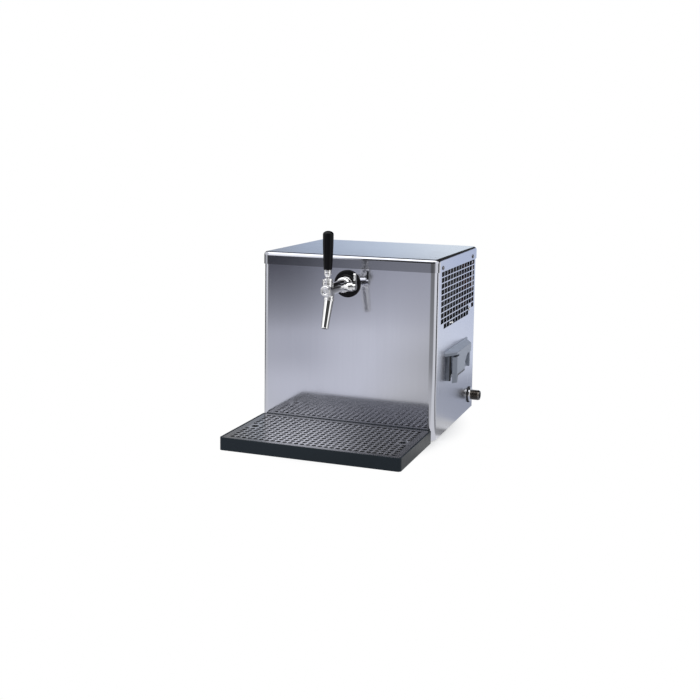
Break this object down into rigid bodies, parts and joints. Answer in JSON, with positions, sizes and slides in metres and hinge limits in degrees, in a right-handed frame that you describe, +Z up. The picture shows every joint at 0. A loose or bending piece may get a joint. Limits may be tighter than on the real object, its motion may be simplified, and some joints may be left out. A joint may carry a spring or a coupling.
{
  "type": "beer cooler with tap and drip tray",
  "caption": "Counter-top flow-through beer cooler: box casing with vents and side grips, lever tap with flow control, side beer inlet, drip tray with perforated grid.",
  "frame": {"origin": "bottom centre of the whole part's box, on the counter", "axes": "+X to the right towards the beer inlet, +Y from the tap to the rear panel, +Z up"},
  "size_m": [0.39, 0.5188, 0.3936],
  "materials": {
    "stainless_brushed": "fine vertical brush, satin",
    "lid_steel": "satin, slightly glossy",
    "grid_steel": "satin",
    "zinc_steel": "dull zinc",
    "screw_steel": "bright",
    "chrome": "polished",
    "black_gloss": "glossy",
    "black_matt": "satin",
    "tray_plastic": "fine grain",
    "grip_plastic": "fine grain",
    "rubber": "matt",
    "aluminium": "cast",
    "foam": "rigid foam",
    "beer_hose": "smooth",
    "compressor_black": "semi-gloss enamel",
    "copper": "drawn",
    "motor_grey": "satin"
  },
  "bodies": {
    "casing": {"casing_wrap": "stainless_brushed", "rear_panel": "stainless_brushed", "base_pan": "zinc_steel", "rubber_feet": "rubber", "lid": "lid_steel", "lid_screws": "screw_steel", "panel_screws": "screw_steel", "rear_screws": "screw_steel", "grip_right": "grip_plastic", "grip_left": "grip_plastic", "tap_rosette": "black_gloss", "tap_shank": "chrome", "shank_nut": "chrome", "coupling_nut": "chrome", "tap_body": "chrome", "tap_front_cap": "chrome", "tap_bonnet": "chrome", "tap_spout": "chrome", "cooling_block": "aluminium", "insulation_lower": "foam", "insulation_upper": "foam", "beer_inlet_line": "beer_hose", "beer_outlet_line": "beer_hose", "compressor": "compressor_black", "compressor_grommets": "rubber", "compressor_bolts": "zinc_steel", "start_relay_box": "black_matt", "suction_line": "copper", "discharge_line": "copper", "liquid_line": "copper", "filter_drier": "copper", "capillary_tube": "copper", "condenser_coil": "copper", "condenser_fins": "aluminium", "condenser_frame": "zinc_steel", "fan_shroud": "zinc_steel", "fan_motor": "motor_grey", "fan_bracket": "zinc_steel", "thermostat": "black_matt", "thermostat_probe": "copper", "switch_housing": "black_matt", "mains_inlet": "black_matt", "inlet_gasket": "rubber", "inlet_flange_nut": "chrome", "inlet_stub": "chrome", "inlet_lock_nut": "chrome"},
    "tap_lever": {"tap_lever_stem": "chrome", "handle_ferrule": "chrome", "tap_handle": "black_gloss"},
    "tap_piston": {"tap_piston": "chrome", "piston_seal": "rubber"},
    "compensator_lever": {"compensator_lever": "chrome"},
    "compensator_cone": {"compensator_cone": "black_matt"},
    "fan_rotor": {"fan_rotor": "black_matt"},
    "thermostat_knob": {"thermostat_knob": "black_matt"},
    "switch_rocker": {"switch_rocker": "black_gloss"},
    "drip_tray": {"drip_tray": "tray_plastic"},
    "drip_grid": {"drip_grid": "grid_steel"}
  },
  "joints": [
    {"name": "tap_lever_tilt", "type": "hinge", "parent": "casing", "child": "tap_lever", "pos_m": [-0.003, -0.1694, 0.299], "axis": [1, 0, 0], "range_deg": [-10, 25]},
    {"name": "tap_piston_slide", "type": "slide", "parent": "casing", "child": "tap_piston", "axis": [0, 1, 0], "range_m": [-0.002, 0.004]},
    {"name": "compensator_lever_turn", "type": "hinge", "parent": "casing", "child": "compensator_lever", "pos_m": [0.0215, -0.1034, 0.287], "axis": [1, 0, 0], "range_deg": [-60, 60]},
    {"name": "compensator_cone_slide", "type": "slide", "parent": "casing", "child": "compensator_cone", "axis": [0, 1, 0], "range_m": [-0.0018, 0.0018]},
    {"name": "fan_spin", "type": "hinge", "parent": "casing", "child": "fan_rotor", "pos_m": [-0.003, 0.0836, 0.255], "axis": [1, 0, 0], "continuous": true},
    {"name": "thermostat_turn", "type": "hinge", "parent": "casing", "child": "thermostat_knob", "pos_m": [-0.113, 0.2428, 0.25], "axis": [0, 1, 0], "range_deg": [0, 270]},
    {"name": "switch_rock", "type": "hinge", "parent": "casing", "child": "switch_rocker", "pos_m": [-0.063, 0.2383, 0.048], "axis": [1, 0, 0], "range_deg": [0, 14]},
    {"name": "drip_tray_pull", "type": "slide", "parent": "casing", "child": "drip_tray", "axis": [0, -1, 0], "range_m": [0, 0.15]},
    {"name": "drip_grid_lift", "type": "slide", "parent": "drip_tray", "child": "drip_grid", "axis": [0, 0, 1], "range_m": [0, 0.05]}
  ],
  "couplings": [
    {"joint": "tap_piston_slide", "follows": "tap_lever_tilt", "m_per_rad": 0.0087},
    {"joint": "compensator_cone_slide", "follows": "compensator_lever_turn", "m_per_rad": -0.0017}
  ]
}
